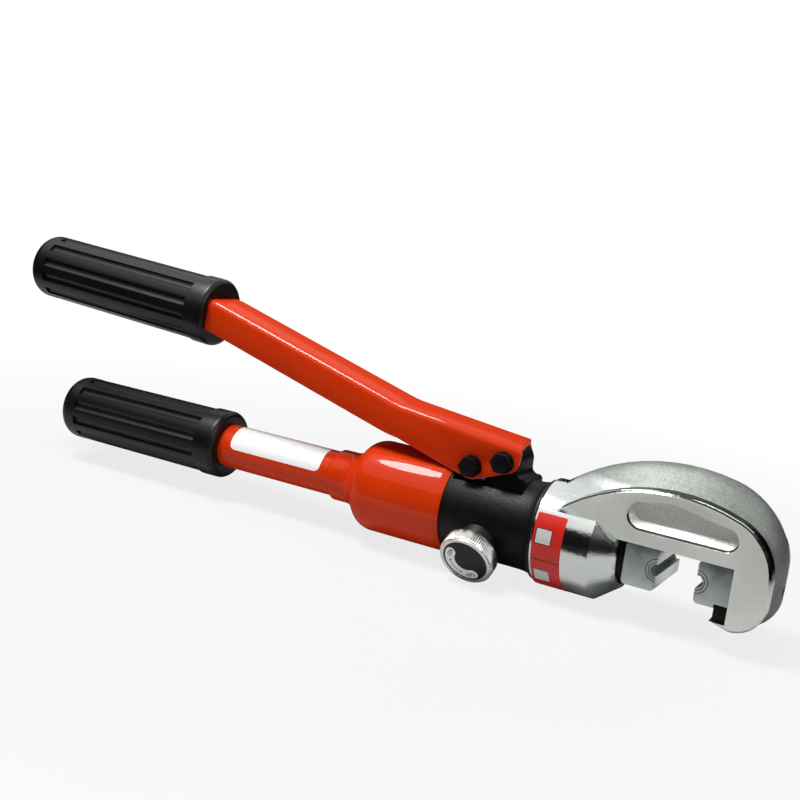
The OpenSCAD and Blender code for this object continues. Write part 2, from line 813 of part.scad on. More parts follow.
module release_knob() {
    rim = 0.6;
    rim_r = knob_r - knurl_depth - 0.2;
    color(chrome) on_axis() on_knob_axis() difference() {
        union() {
            translate([0, 0, knob_base + rim])
                linear_extrude(knob_t - 2 * rim) polygon(knurl_outline());
            translate([0, 0, knob_base]) cylinder(h = knob_t, r = rim_r);
        }
        translate([0, 0, knob_base - 1]) cylinder(h = far, r = spindle_neck_r + hold_gap);
        translate([0, 0, knob_face - disc_t - hold_gap]) cylinder(h = far, r = disc_d / 2 + hold_gap);
    }
}

module knob_disc() {
    color(black) on_axis() on_knob_axis() translate([0, 0, knob_face - disc_t - hold_gap])
        cylinder(h = disc_t, d = disc_d);
}

// The reservoir's shoulder as two equal arcs from [x0, r0] back to [x1, r1]
function shoulder(x0, r0, x1, r1) =
    let (drop = r0 - r1, run = x0 - x1, turn = 2 * atan(drop / run), arc_r = run / (2 * sin(turn)), n = 8)
    concat(
        [for (i = [0 : n]) let (a = turn * i / n) [x0 - arc_r * sin(a), r0 - arc_r * (1 - cos(a))]],
        [for (i = [1 : n]) let (a = turn * (1 - i / n)) [x1 + arc_r * sin(a), r1 + arc_r * (1 - cos(a))]]
    );

module reservoir_bell() {
    in_r = bell_r - bell_wall;
    color(orange) on_axis() turned(concat(
        [[bell_x0, in_r], [bell_x0, bell_r - edge_c], [bell_x0 - bell_lead, bell_r]],
        shoulder(bell_x1, bell_r, shoulder_x1, neck_r),
        [[neck_x1 + 1, neck_r], [neck_x1, neck_r - 1], [neck_x1, tube_r + run_gap],
            [tube_x0 + hold_gap, tube_r + run_gap], [tube_x0 + hold_gap, tube_in_r]],
        [[bell_x1 - 1, in_r]]
    ));
}

module oil_bladder() {
    out_r = bell_r - bell_wall - bladder_gap - bladder_fold;
    stem_r = tube_in_r - bladder_gap;
    mouth_x = bell_x0 - spigot_l - hold_gap;
    color(rubber) on_axis() turned([
        [mouth_x, nipple_r + hold_gap], [mouth_x, nipple_r + bladder_wall],
        [mouth_x - nipple_l, nipple_r + bladder_wall], [mouth_x - nipple_l - bladder_ramp, out_r],
        [bell_x1 - bladder_back, out_r], [tube_x0, stem_r], [bladder_x1, stem_r], [bladder_x1, 0],
        [bladder_x1 + bladder_wall, 0], [bladder_x1 + bladder_wall, stem_r - bladder_wall],
        [tube_x0, stem_r - bladder_wall], [bell_x1 - bladder_back, out_r - bladder_wall],
        [mouth_x - nipple_l - bladder_ramp, out_r - bladder_wall], [mouth_x - nipple_l, nipple_r + hold_gap]
    ]);
}

module bladder_clamp() {
    clamp_r = nipple_r + bladder_wall + hold_gap;
    mouth_x = bell_x0 - spigot_l - 1;
    color(steel) on_axis() sleeve(mouth_x - clamp_w, mouth_x, clamp_r + clamp_t, clamp_r);
}

module handle_tube() {
    color(orange) on_axis() sleeve(tube_x1, tube_x0, tube_r, tube_in_r);
}

module filler_plug() {
    color(steel) on_axis() union() {
        bar(tube_x1 - plug_flange_t, tube_x1, tube_r);
        bar(tube_x1 - eps, tube_x1 + plug_l, tube_in_r - run_gap);
    }
}

// A grip along -X from the origin: a collar in front, flutes, and a plain round end
module grip_form(length) {
    turn_n = 10;
    collar_r = grip_r + collar_h;
    difference() {
        turned(concat(
            [[0, 0]],
            [for (i = [0 : turn_n]) let (a = 90 * i / turn_n)
                [grip_lead_r * (cos(a) - 1), collar_r + grip_lead_r * (sin(a) - 1)]],
            [[-band_l, collar_r], [-band_l - collar_h, grip_r]],
            [for (i = [0 : turn_n]) let (a = 90 * i / turn_n)
                [-length + grip_edge_r - grip_edge_r * sin(a), corner_r + grip_edge_r * cos(a)]],
            [[-length, 0]]
        ));
        for (i = [0 : flute_count - 1])
            rotate([360 * (i + 0.5) / flute_count, 0, 0]) translate([0, 0, grip_r + flute_r - flute_depth])
                bar(band_l - length, -band_l - 2 * collar_h, flute_r);
    }
}

module handle_grip() {
    color(rubber) on_axis() difference() {
        translate([grip_x0, 0, 0]) grip_form(lower_grip_l);
        bar(grip_x1 + grip_end_t, far, tube_r + hold_gap);
    }
}

// Stations of the lever's top line: [point, tilt, depth]
function bend(p, a0, a1, r, depth) =
    let (s = sign(a1 - a0), start = p - r * tan(abs(a1 - a0) / 2) * heading(a0), n = 4)
    [for (i = [0 : n]) let (a = a0 + (a1 - a0) * i / n)
        [start + s * r * [sin(a0) - sin(a), cos(a0) - cos(a)], a, depth]];

lever_line = concat(
    [[lever_p0, lever_front_tilt, lever_front_depth]],
    bend(lever_p1, lever_front_tilt, lever_arm_tilt, bend_front_r, lever_depth),
    bend(lever_p2, lever_arm_tilt, lever_grip_tilt, bend_rear_r, lever_depth),
    [[lever_p3, lever_grip_tilt, lever_depth]]
);

// One side of the channel's section, inset from its outside: [across, down] from the top line
function channel_side(inset, low) =
    let (n = 5, half = lever_w / 2 - inset, r = lever_edge_r - inset)
    concat(
        [[-half, low]],
        [for (i = [0 : n]) let (a = 90 * i / n) [-half + r - r * cos(a), inset + r - r * sin(a)]],
        [for (i = [0 : n]) let (a = 90 * i / n) [half - r + r * sin(a), inset + r - r * cos(a)]],
        [[half, low]]
    );

// The channel swept along the lever's line: out along its outside and back along its inside
module lever_channel() {
    last = len(lever_line) - 1;
    rings = [for (s = lever_line)
        [for (q = concat(channel_side(0, s[2]), channel_side(lever_sheet, s[2])))
            let (c = s[0] - q[1] * across(s[1])) [c[0], q[0], c[1]]]];
    n = len(rings[0]);
    m = n / 2;
    loop = concat([for (j = [0 : m - 1]) j], [for (j = [n - 1 : -1 : m]) j]);
    polyhedron(
        points = [for (ring = rings) each ring],
        faces = concat(
            [for (j = [0 : m - 2]) [j, j + 1, m + j + 1, m + j]],
            [for (j = [0 : m - 2]) [for (k = [m + j, m + j + 1, j + 1, j]) last * n + k]],
            [for (i = [0 : last - 1], j = [0 : n - 1])
                let (p = loop[j], q = loop[(j + 1) % n]) each [
                    [i * n + p, (i + 1) * n + p, (i + 1) * n + q],
                    [i * n + p, (i + 1) * n + q, i * n + q]
                ]]
        )
    );
}

// What is cut off under the lever's front end: round the rear bolt, then up to a round front corner
lever_eye_r = 5;
lever_front_r = 4;
lever_rise = 21;
lever_trim = 0.2;
lever_far_r = 3.6;
lever_lap = 0.6;

function front_cut() =
    let (
        n = 8,
        a1 = 270 + lever_rise,
        a2 = 360 - lever_front_tilt,
        front_x = lever_p0[0] - lever_cover * tan(lever_front_tilt) - lever_front_r - lever_trim,
        front_z = plunger_bolt_h
            + ((front_x - plunger_x) * sin(lever_rise) - lever_eye_r + lever_front_r) / cos(lever_rise)
    )
    concat(
        [for (i = [0 : n]) let (a = 255 + (a1 - 255) * i / n)
            [plunger_x + lever_eye_r * cos(a), plunger_bolt_h + lever_eye_r * sin(a)]],
        [for (i = [0 : n]) let (a = a1 + (a2 - a1) * i / n)
            [front_x + lever_front_r * cos(a), front_z + lever_front_r * sin(a)]],
        [[lever_p0[0] + 3, front_z], [lever_p0[0] + 3, 0], [plunger_x - 2, 0]]
    );

// The slanting front edge of the lever's top plate, from its near corner back to the far one
module lever_skew_cut() {
    low = lever_p0[1] - lever_sheet - lever_lap;
    edge = [for (z = [low, low + 2 * lever_cover], y = [-lever_w, lever_w])
        [lever_p0[0] - lever_trim - lever_skew * (y / lever_w + 0.5), y, z]];
    polyhedron(
        points = concat(edge, [for (p = edge) p + [far, 0, 0]]),
        faces = [[0, 1, 3, 2], [4, 6, 7, 5], [0, 4, 5, 1], [2, 3, 7, 6], [0, 2, 6, 4], [1, 5, 7, 3]]
    );
}

// What is cut off in front of the far wall: it ends round about the pivot, below the top plate's corner
function far_cut() =
    let (
        n = 8,
        tip = [lever_p0[0] - lever_skew, lever_p0[1] - lever_sheet - lever_lap],
        d = tip - [pivot_x, pivot_h],
        a0 = lever_rise - 90,
        a1 = atan2(d[1], d[0]) - acos(min(1, lever_far_r / norm(d))),
        front = lever_p0[0] + far
    )
    concat(
        [for (i = [0 : n]) let (a = a0 + (a1 - a0) * i / n)
            [pivot_x + lever_far_r * cos(a), pivot_h + lever_far_r * sin(a)]],
        [tip, [tip[0], tip[1] + lever_cover], [front, tip[1] + lever_cover], [front, 0],
            [pivot_x + lever_far_r * cos(a0), 0]]
    );

module lever_arm() {
    color(orange) on_axis() difference() {
        lever_channel();
        side_plate(front_cut(), -far, far);
        lever_skew_cut();
        side_plate(far_cut(), channel_in - lever_trim, far);
        cross_bar([pivot_x, pivot_h], -far, far, bolt_r + run_gap);
        cross_bar([plunger_x, plunger_bolt_h], -far, far, bolt_r + run_gap);
    }
}

module lever_grip() {
    hole_w = lever_w + 2 * hold_gap;
    hole_h = lever_depth + 2 * hold_gap;
    color(rubber) on_axis() translate([grip_axis[0], 0, grip_axis[1]]) rotate([0, lever_grip_tilt, 0])
        difference() {
            grip_form(lever_grip_l);
            translate([grip_end_t - lever_grip_l, -hole_w / 2, -hole_h / 2]) cube([far, hole_w, hole_h]);
        }
}

washer_in = bolt_r + run_gap;
washer_split = 0.9;
head_at = lever_w / 2 + washer_t;
pivot_at = [pivot_x, pivot_h];
plunger_bolt_at = [plunger_x, plunger_bolt_h];

// A hex bolt across the lever at [x, z], from its head on the near side to y1
module lever_bolt(at, y1) {
    cross_bar(at, -head_at - 1, y1, bolt_r);
    cross_hex(at, -head_at - hex_h, -head_at, hex_af);
}

// A split spring washer under the bolt's head or nut, on one side of the lever
module split_washer(at, y0, y1) {
    difference() {
        cross_bar(at, y0, y1, washer_d / 2);
        cross_bar(at, -far, far, washer_in);
        translate([at[0], -far, at[1] - washer_split / 2]) rotate([0, 20, 0])
            translate([-washer_d, 0, 0]) cube([washer_d, 2 * far, washer_split]);
    }
}

// The front bolt is screwed into the channel's far wall and turns with it in the lug
module pivot_bolt() {
    color(black) on_axis() lever_bolt(pivot_at, lever_w / 2 - hold_gap);
}

module pivot_washer() {
    color(black) on_axis() split_washer(pivot_at, -head_at, -lever_w / 2);
}

module plunger_bolt() {
    color(black) on_axis() lever_bolt(plunger_bolt_at, head_at + nut_h + 1);
}

module plunger_nut() {
    color(black) on_axis() difference() {
        cross_hex(plunger_bolt_at, head_at, head_at + nut_h, hex_af);
        cross_bar(plunger_bolt_at, 0, far, bolt_r + run_gap);
    }
}

module plunger_washers() {
    color(black) on_axis() {
        split_washer(plunger_bolt_at, -head_at, -lever_w / 2);
        split_washer(plunger_bolt_at, lever_w / 2, head_at);
    }
}

c_head();
ram();
ram_seal();
moving_die();
fixed_die();
die_keeper();
detent_ball();
detent_spring();
detent_screw();
return_spring();
spring_anchor();
pump_body();
head_seal();
pump_plunger();
plunger_gland();
plunger_seal();
suction_ball();
suction_spring();
delivery_ball();
delivery_spring();
delivery_plug();
relief_ball();
relief_spring();
relief_screw();
release_ball();
release_spindle();
release_seal();
release_knob();
knob_disc();
reservoir_bell();
oil_bladder();
bladder_clamp();
handle_tube();
filler_plug();
handle_grip();
lever_arm();
lever_grip();
pivot_bolt();
pivot_washer();
plunger_bolt();
plunger_nut();
plunger_washers();
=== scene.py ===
"""Hand hydraulic crimping tool: finishes, labels, floor, light and camera."""
from math import cos, pi, radians, sin, sqrt

import bpy
from mathutils import Matrix, Vector


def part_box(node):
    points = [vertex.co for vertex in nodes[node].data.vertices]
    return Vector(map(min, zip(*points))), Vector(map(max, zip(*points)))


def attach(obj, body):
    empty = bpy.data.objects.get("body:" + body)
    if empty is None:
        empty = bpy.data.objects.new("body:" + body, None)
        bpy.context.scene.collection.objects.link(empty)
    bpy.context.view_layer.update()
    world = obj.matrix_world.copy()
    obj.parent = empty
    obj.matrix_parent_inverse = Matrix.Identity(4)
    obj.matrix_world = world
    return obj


MM = 0.001

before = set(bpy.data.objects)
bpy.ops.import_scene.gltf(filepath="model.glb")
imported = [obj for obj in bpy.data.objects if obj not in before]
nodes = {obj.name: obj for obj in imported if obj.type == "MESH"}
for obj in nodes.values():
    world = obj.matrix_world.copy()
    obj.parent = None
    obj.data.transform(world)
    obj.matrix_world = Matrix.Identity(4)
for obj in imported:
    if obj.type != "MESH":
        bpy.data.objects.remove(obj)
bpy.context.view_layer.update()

# Places on the tool, in metres: its axis and the plane between pump body and head
head_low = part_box("c_head")[0]
tube_low, tube_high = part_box("handle_tube")
AXIS_Y = (tube_low[1] + tube_high[1]) / 2
AXIS_Z = (tube_low[2] + tube_high[2]) / 2
HEAD_X = head_low[0]

# Radii of the press cylinder and the handle tube, in mm
CYLINDER_R = 20.0
TUBE_R = 9.2


# Node helpers
def new_material(name):
    """A material with its node tree and its surface shader."""
    mat = bpy.data.materials.new(name)
    mat.use_nodes = True
    tree = mat.node_tree
    shader = tree.nodes["Principled BSDF"]
    return mat, tree, shader


def put(socket, value):
    """Sets a socket's constant, or links another node's output to it."""
    if isinstance(value, bpy.types.NodeSocket):
        socket.id_data.links.new(value, socket)
    else:
        socket.default_value = value


def node(tree, kind, **inputs):
    """Adds a node and fills its named inputs."""
    made = tree.nodes.new(kind)
    for key, value in inputs.items():
        put(made.inputs[key.replace("_", " ")], value)
    return made


def math(tree, operation, a, b=0.5):
    """Works out one operation on two values."""
    made = tree.nodes.new("ShaderNodeMath")
    made.operation = operation
    put(made.inputs[0], a)
    put(made.inputs[1], b)
    return made.outputs[0]


def span(tree, value, low, high, to_low, to_high):
    """Maps value from low..high to to_low..to_high, held at both ends."""
    made = node(tree, "ShaderNodeMapRange", Value=value)
    made.inputs["From Min"].default_value = low
    made.inputs["From Max"].default_value = high
    made.inputs["To Min"].default_value = to_low
    made.inputs["To Max"].default_value = to_high
    return made.outputs["Result"]


def blend(tree, factor, a, b):
    """Mixes two colours."""
    made = tree.nodes.new("ShaderNodeMix")
    made.data_type = "RGBA"
    put(made.inputs["Factor"], factor)
    put(made.inputs["A"], a)
    put(made.inputs["B"], b)
    return made.outputs["Result"]


def place(tree):
    """The point on the piece, in metres."""
    return tree.nodes.new("ShaderNodeTexCoord").outputs["Object"]


def noise(tree, scale, detail=4.0, rough=0.55):
    """A cloudy pattern from 0 to 1, finer with a larger scale."""
    made = node(tree, "ShaderNodeTexNoise", Scale=scale, Detail=detail, Roughness=rough)
    put(made.inputs["Vector"], place(tree))
    return made.outputs["Fac"]


def relief(tree, height, depth, strength=1.0):
    """A bump from a height pattern; depth is in metres."""
    made = node(tree, "ShaderNodeBump", Height=height, Distance=depth, Strength=strength)
    return made.outputs["Normal"]


def rgb(r, g, b):
    """A colour from 0 to 255 as the shader takes it."""
    def linear(c):
        c /= 255
        return c / 12.92 if c <= 0.04045 else ((c + 0.055) / 1.055) ** 2.4
    return (linear(r), linear(g), linear(b), 1.0)


def within(tree, value, middle, reach, soft):
    """1 where value is nearer than reach to middle, else 0, with a soft edge."""
    gap = math(tree, "ABSOLUTE", math(tree, "SUBTRACT", value, middle))
    return span(tree, gap, reach - soft, reach + soft, 1, 0)


def facing_way(tree):
    """The way the surface faces, as X, Y and Z from -1 to 1."""
    turned = tree.nodes.new("ShaderNodeTexCoord").outputs["Normal"]
    return node(tree, "ShaderNodeSeparateXYZ", Vector=turned).outputs


def seen_rays(tree, mirrored=1.0):
    """1 for rays from the camera and through clear pieces, mirrored for reflections, else 0."""
    path = tree.nodes.new("ShaderNodeLightPath")
    glossy = math(tree, "MULTIPLY", path.outputs["Is Glossy Ray"], mirrored)
    seen = math(tree, "MAXIMUM", path.outputs["Is Camera Ray"], glossy)
    return math(tree, "MAXIMUM", seen, path.outputs["Is Transmission Ray"])


# Zones of the head, in metres from its back end and from the tool's axis
PAD_Y = 0.016
POCKET_Y = 0.01405
POCKET_DEPTH = 0.0025
POCKET_X = 0.0525
POCKET_L = 0.047
POCKET_Z = 0.019
POCKET_H = 0.017
RIM_Y = 0.0101
STEP_Y = 0.01305
STEP_H = 0.0057
LIP_Y = 0.0152
LIP_Z = 0.0135
WEB_X = 0.03
WEB_Z = CYLINDER_R * MM
FINE = 0.0001
SOFT = 0.0008

# From where to where a face comes to count as flat, sloping or upward, by the way it faces
FLAT = (0.95, 0.98)
SLOPING = (0.3, 0.4)
UPWARD = (0.0, 0.1)


def head_zones(tree):
    """Where the head has flat faces, pockets, a blasted rim and steps up to its pads that carry painted
    shade, each 0 to 1.
    """
    at = node(tree, "ShaderNodeSeparateXYZ", Vector=place(tree)).outputs
    facing = facing_way(tree)
    sideways = math(tree, "ABSOLUTE", facing["Y"])
    flat = span(tree, sideways, *FLAT, 0, 1)
    sloping = span(tree, sideways, *SLOPING, 0, 1)
    upward = span(tree, facing["Z"], *UPWARD, 0, 1)
    off = math(tree, "ABSOLUTE", math(tree, "SUBTRACT", at["Y"], AXIS_Y))
    pad = within(tree, off, PAD_Y, 4 * FINE, FINE)
    along = within(tree, at["X"], HEAD_X + POCKET_X, POCKET_L / 2, FINE)
    across = within(tree, at["Z"], AXIS_Z + POCKET_Z, POCKET_H / 2, FINE)
    deep = within(tree, off, POCKET_Y, POCKET_DEPTH / 2, FINE)
    box = math(tree, "MULTIPLY", deep, math(tree, "MULTIPLY", along, across))
    pocket = math(tree, "MULTIPLY", box, sloping)
    even = math(tree, "MULTIPLY", flat, math(tree, "MAXIMUM", pad, pocket))
    past = span(tree, at["Z"], AXIS_Z + WEB_Z + SOFT, AXIS_Z + WEB_Z + 8 * SOFT, 0, 1)
    front = span(tree, at["X"], HEAD_X + WEB_X, HEAD_X + WEB_X + SOFT, 0, 1)
    web = math(tree, "MAXIMUM", past, front)
    rim = math(tree, "MULTIPLY", span(tree, off, RIM_Y, RIM_Y + FINE, 1, 0), web)
    wall = math(tree, "MULTIPLY", upward, within(tree, off, STEP_Y, STEP_H / 2, FINE))
    outer = span(tree, off, LIP_Y, LIP_Y + FINE, 0, 1)
    above = span(tree, at["Z"], AXIS_Z + LIP_Z, AXIS_Z + LIP_Z + SOFT, 0, 1)
    lip = math(tree, "MULTIPLY", outer, above)
    edge = math(tree, "MAXIMUM", web, lip)
    upright = math(tree, "SUBTRACT", 1, sloping)
    # Mask of the upward step walls to the pads, where shade is painted
    step_shade = math(tree, "MULTIPLY", wall, math(tree, "MAXIMUM", edge, upright))
    return even, pocket, rim, step_shade


# Finishes
def chrome_plate():
    """Bright plating, satin on the pads, sandy in the pockets, blasted on the rim and painted shade on the
    steps.
    """
    mat, tree, shader = new_material("chrome_plate")
    even, pocket, rim, step_shade = head_zones(tree)
    peel = noise(tree, 520, 3, 0.6)
    grain = noise(tree, 2600, 2)
    cloud = noise(tree, 55, 5, 0.6)
    mottle = span(tree, cloud, 0.35, 0.65, 0, 1)
    bright = blend(tree, mottle, rgb(212, 217, 215), rgb(228, 232, 229))
    satin = blend(tree, mottle, rgb(232, 236, 228), rgb(242, 245, 238))
    speckle = span(tree, noise(tree, 900, 4), 0.3, 0.7, 0, 1)
    worn = math(tree, "MULTIPLY", math(tree, "ADD", speckle, mottle), 0.5)
    blasted = blend(tree, worn, rgb(106, 109, 105), rgb(146, 150, 145))
    cast = blend(tree, span(tree, grain, 0.35, 0.65, 0, 1), rgb(216, 219, 213), rgb(242, 245, 239))
    colour = blend(tree, rim, blend(tree, even, bright, satin), blasted)
    # Painted shade: the step walls to the pads are painted dark grey
    colour = blend(tree, step_shade, colour, rgb(66, 68, 66))
    put(shader.inputs["Base Color"], blend(tree, pocket, colour, cast))
    faded = math(tree, "MULTIPLY", rim, 0.35)
    put(shader.inputs["Metallic"], math(tree, "SUBTRACT", span(tree, even, 0, 1, 1, 0.45), faded))
    shine = span(tree, cloud, 0.3, 0.7, 0.1, 0.17)
    dull = math(tree, "MAXIMUM", even, pocket)
    grey = math(tree, "MAXIMUM", math(tree, "MULTIPLY", dull, 0.32), math(tree, "MULTIPLY", rim, 0.42))
    put(shader.inputs["Roughness"], math(tree, "ADD", shine, grey))
    height = math(tree, "ADD", peel, math(tree, "MULTIPLY", grain, 0.3))
    sand = math(tree, "MULTIPLY", math(tree, "MULTIPLY", noise(tree, 1500, 4, 0.7), 3), pocket)
    put(shader.inputs["Normal"], relief(tree, math(tree, "ADD", height, sand), 0.00013, 0.6))
    return mat


def knob_plate():
    """Plating of the release knob, a little duller than the head's."""
    mat, tree, shader = new_material("knob_plate")
    cloud = noise(tree, 400, 4)
    shader.inputs["Metallic"].default_value = 1
    put(shader.inputs["Base Color"], blend(
        tree, span(tree, cloud, 0.35, 0.65, 0, 1), rgb(206, 208, 204), rgb(226, 228, 225)))
    put(shader.inputs["Roughness"], span(tree, cloud, 0.3, 0.7, 0.16, 0.28))
    put(shader.inputs["Normal"], relief(tree, noise(tree, 1800, 3), 0.00003, 0.4))
    return mat


def bright_steel():
    """Ground steel, polished on the faces across the tool's axis."""
    mat, tree, shader = new_material("bright_steel")
    grain = noise(tree, 2200, 3)
    cloud = noise(tree, 90, 4)
    ground = span(tree, math(tree, "ABSOLUTE", facing_way(tree)["X"]), 0.9, 0.97, 0, 1)
    mottle = span(tree, cloud, 0.3, 0.7, 0, 1)
    dull = blend(tree, mottle, rgb(190, 197, 195), rgb(208, 215, 213))
    polished = blend(tree, mottle, rgb(226, 229, 227), rgb(238, 240, 238))
    shader.inputs["Metallic"].default_value = 1
    put(shader.inputs["Base Color"], blend(tree, ground, dull, polished))
    worn = span(tree, cloud, 0.3, 0.7, 0.4, 0.52)
    put(shader.inputs["Roughness"], math(tree, "SUBTRACT", worn, math(tree, "MULTIPLY", ground, 0.2)))
    put(shader.inputs["Normal"], relief(tree, grain, 0.00004, 0.35))
    return mat


def black_steel():
    """Blackened steel with a cast skin."""
    mat, tree, shader = new_material("black_steel")
    cast = noise(tree, 900, 6, 0.7)
    put(shader.inputs["Base Color"], blend(
        tree, span(tree, noise(tree, 150), 0.3, 0.7, 0, 1), rgb(5, 5, 5), rgb(13, 13, 13)))
    put(shader.inputs["Roughness"], span(tree, cast, 0.3, 0.7, 0.34, 0.5))
    put(shader.inputs["Normal"], relief(tree, cast, 0.00022, 0.6))
    shader.inputs["Specular IOR Level"].default_value = 0.2
    return mat


def orange_paint():
    """Gloss paint with a faint orange peel."""
    mat, tree, shader = new_material("orange_paint")
    peel = noise(tree, 260, 2)
    put(shader.inputs["Base Color"], blend(
        tree, span(tree, noise(tree, 35), 0.3, 0.7, 0, 1), rgb(206, 51, 8), rgb(214, 57, 10)))
    put(shader.inputs["Roughness"], span(tree, peel, 0.3, 0.7, 0.3, 0.38))
    put(shader.inputs["Normal"], relief(tree, peel, 0.00005, 0.5))
    shader.inputs["Coat Weight"].default_value = 0.11
    shader.inputs["Coat Roughness"].default_value = 0.05
    shader.inputs["Coat IOR"].default_value = 2.3
    shader.inputs["Specular IOR Level"].default_value = 0.03
    return mat


def grip_black():
    """Satin moulding of the grips."""
    mat, tree, shader = new_material("grip_black")
    skin = noise(tree, 1300, 3)
    put(shader.inputs["Base Color"], blend(
        tree, span(tree, noise(tree, 50), 0.3, 0.7, 0, 1), rgb(9, 9, 8), rgb(16, 16, 15)))
    put(shader.inputs["Roughness"], span(tree, skin, 0.3, 0.7, 0.3, 0.42))
    put(shader.inputs["Normal"], relief(tree, skin, 0.00006, 0.4))
    shader.inputs["Specular IOR Level"].default_value = 0.3
    return mat


def seal_rubber():
    """Dull rubber of the seals and the bladder."""
    mat, tree, shader = new_material("seal_rubber")
    skin = noise(tree, 1500, 3)
    put(shader.inputs["Base Color"], blend(tree, skin, rgb(22, 22, 22), rgb(34, 34, 34)))
    put(shader.inputs["Roughness"], span(tree, skin, 0.3, 0.7, 0.5, 0.65))
    return mat


def gland_brass():
    """Turned brass of the plunger's gland."""
    mat, tree, shader = new_material("gland_brass")
    cloud = noise(tree, 200, 4)
    shader.inputs["Metallic"].default_value = 1
    put(shader.inputs["Base Color"], blend(tree, cloud, rgb(196, 160, 88), rgb(214, 180, 108)))
    put(shader.inputs["Roughness"], span(tree, cloud, 0.3, 0.7, 0.22, 0.34))
    return mat


def disc_black():
    """Glossy disc in the knob's face."""
    mat, tree, shader = new_material("disc_black")
    cloud = noise(tree, 300, 3)
    put(shader.inputs["Base Color"], blend(tree, cloud, rgb(9, 9, 10), rgb(18, 18, 19)))
    put(shader.inputs["Roughness"], span(tree, cloud, 0.3, 0.7, 0.1, 0.18))
    shader.inputs["Specular IOR Level"].default_value = 0.25
    return mat


def vinyl(name, dark, light, rough):
    """A printed film: faint mottling and a faint gloss change."""
    mat, tree, shader = new_material(name)
    cloud = noise(tree, 500, 3)
    put(shader.inputs["Base Color"], blend(tree, span(tree, cloud, 0.3, 0.7, 0, 1), dark, light))
    put(shader.inputs["Roughness"], span(tree, cloud, 0.3, 0.7, rough, rough + 0.04))
    return mat


FINISHES = {
    "chrome_plate": chrome_plate(),
    "bright_steel": bright_steel(),
    "black_steel": black_steel(),
    "orange_paint": orange_paint(),
    "grip_black": grip_black(),
    "seal_rubber": seal_rubber(),
    "gland_brass": gland_brass(),
    "disc_black": disc_black(),
}

for piece in nodes.values():
    slot_name = piece.data.materials[0].name.split(".")[0]
    piece.data.materials.clear()
    piece.data.materials.append(FINISHES[slot_name])
nodes["release_knob"].data.materials[0] = knob_plate()

# Edges: joined vertices, small bevels in mm and smooth faces
BEVELS = {
    "c_head": 0.2, "moving_die": 0.4, "fixed_die": 0.4, "die_keeper": 0.4, "pump_body": 0.6,
    "release_knob": 0.12, "reservoir_bell": 0.3, "lever_arm": 0.3, "pivot_bolt": 0.3,
    "pivot_washer": 0.15, "plunger_bolt": 0.3, "plunger_nut": 0.3,
    "plunger_washers": 0.15, "pump_plunger": 0.3, "ram": 0.3,
}
SHARP_ANGLE = radians(34)
BEVEL_ANGLE = radians(40)
JOIN_GAP = 0.002 * MM


def smooth_by_angle():
    """A node group that keeps edges sharper than the angle sharp and shades the rest smooth."""
    group = bpy.data.node_groups.new("smooth_by_angle", "GeometryNodeTree")
    group.interface.new_socket("Geometry", in_out="INPUT", socket_type="NodeSocketGeometry")
    group.interface.new_socket("Geometry", in_out="OUTPUT", socket_type="NodeSocketGeometry")
    start = group.nodes.new("NodeGroupInput")
    end = group.nodes.new("NodeGroupOutput")
    angle = group.nodes.new("GeometryNodeInputMeshEdgeAngle")
    limit = group.nodes.new("FunctionNodeCompare")
    limit.operation = "GREATER_THAN"
    limit.inputs["B"].default_value = SHARP_ANGLE
    faces = group.nodes.new("GeometryNodeSetShadeSmooth")
    edges = group.nodes.new("GeometryNodeSetShadeSmooth")
    edges.domain = "EDGE"
    edges.inputs["Shade Smooth"].default_value = False
    group.links.new(angle.outputs["Unsigned Angle"], limit.inputs["A"])
    group.links.new(start.outputs["Geometry"], faces.inputs["Geometry"])
    group.links.new(faces.outputs["Geometry"], edges.inputs["Geometry"])
    group.links.new(limit.outputs["Result"], edges.inputs["Selection"])
    group.links.new(edges.outputs["Geometry"], end.inputs["Geometry"])
    return group


SMOOTH = smooth_by_angle()
for name, piece in nodes.items():
    mesh = piece.data
    if "custom_normal" in mesh.attributes:
        mesh.attributes.remove(mesh.attributes["custom_normal"])
    if "sharp_edge" in mesh.attributes:
        mesh.attributes.remove(mesh.attributes["sharp_edge"])
    weld = piece.modifiers.new("weld", "WELD")
    weld.merge_threshold = JOIN_GAP
    if name in BEVELS:
        bevel = piece.modifiers.new("edges", "BEVEL")
        bevel.width = BEVELS[name] * MM
        bevel.segments = 2
        bevel.limit_method = "ANGLE"
        bevel.angle_limit = BEVEL_ANGLE
        bevel.use_clamp_overlap = True
    piece.modifiers.new("smooth", "NODES").node_group = SMOOTH

# Labels: thin films that lie on the round pieces, left bare
FILM_RED = vinyl("film_red", rgb(206, 30, 20), rgb(212, 34, 24), 0.28)
FILM_WHITE = vinyl("film_white", rgb(248, 248, 246), rgb(252, 252, 250), 0.25)
FILM_GREY = vinyl("film_grey", rgb(196, 198, 194), rgb(212, 214, 210), 0.3)
FILM_DARK = vinyl("film_dark", rgb(24, 22, 22), rgb(36, 34, 33), 0.35)
FILM_T = 0.06 * MM
PRINT_LIFT = 0.03


def add_piece(name, points, faces, finish, body):
    """Makes a mesh piece that moves with a body."""
    mesh = bpy.data.meshes.new(name)
    mesh.from_pydata(points, [], faces)
    mesh.materials.append(finish)
    for face in mesh.polygons:
        face.use_smooth = True
    piece = bpy.data.objects.new(name, mesh)
    bpy.context.scene.collection.objects.link(piece)
    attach(piece, body)
    return piece


def strips(rows, columns):
    """The four-sided faces of a grid of points."""
    return [
        (i * columns + j, i * columns + j + 1, (i + 1) * columns + j + 1, (i + 1) * columns + j)
        for i in range(rows - 1) for j in range(columns - 1)
    ]


CORNER_STEPS = 6
FILM_STEPS = 24
FILM_COLUMNS = 9


def corner_steps(length, corner, count):
    """Places from 0 to length, close together in the two round corners."""
    turn = [corner * (1 - cos(pi / 2 * i / CORNER_STEPS)) for i in range(CORNER_STEPS)]
    flat = [corner + (length - 2 * corner) * i / count for i in range(count + 1)]
    return turn + flat + [length - t for t in reversed(turn)]


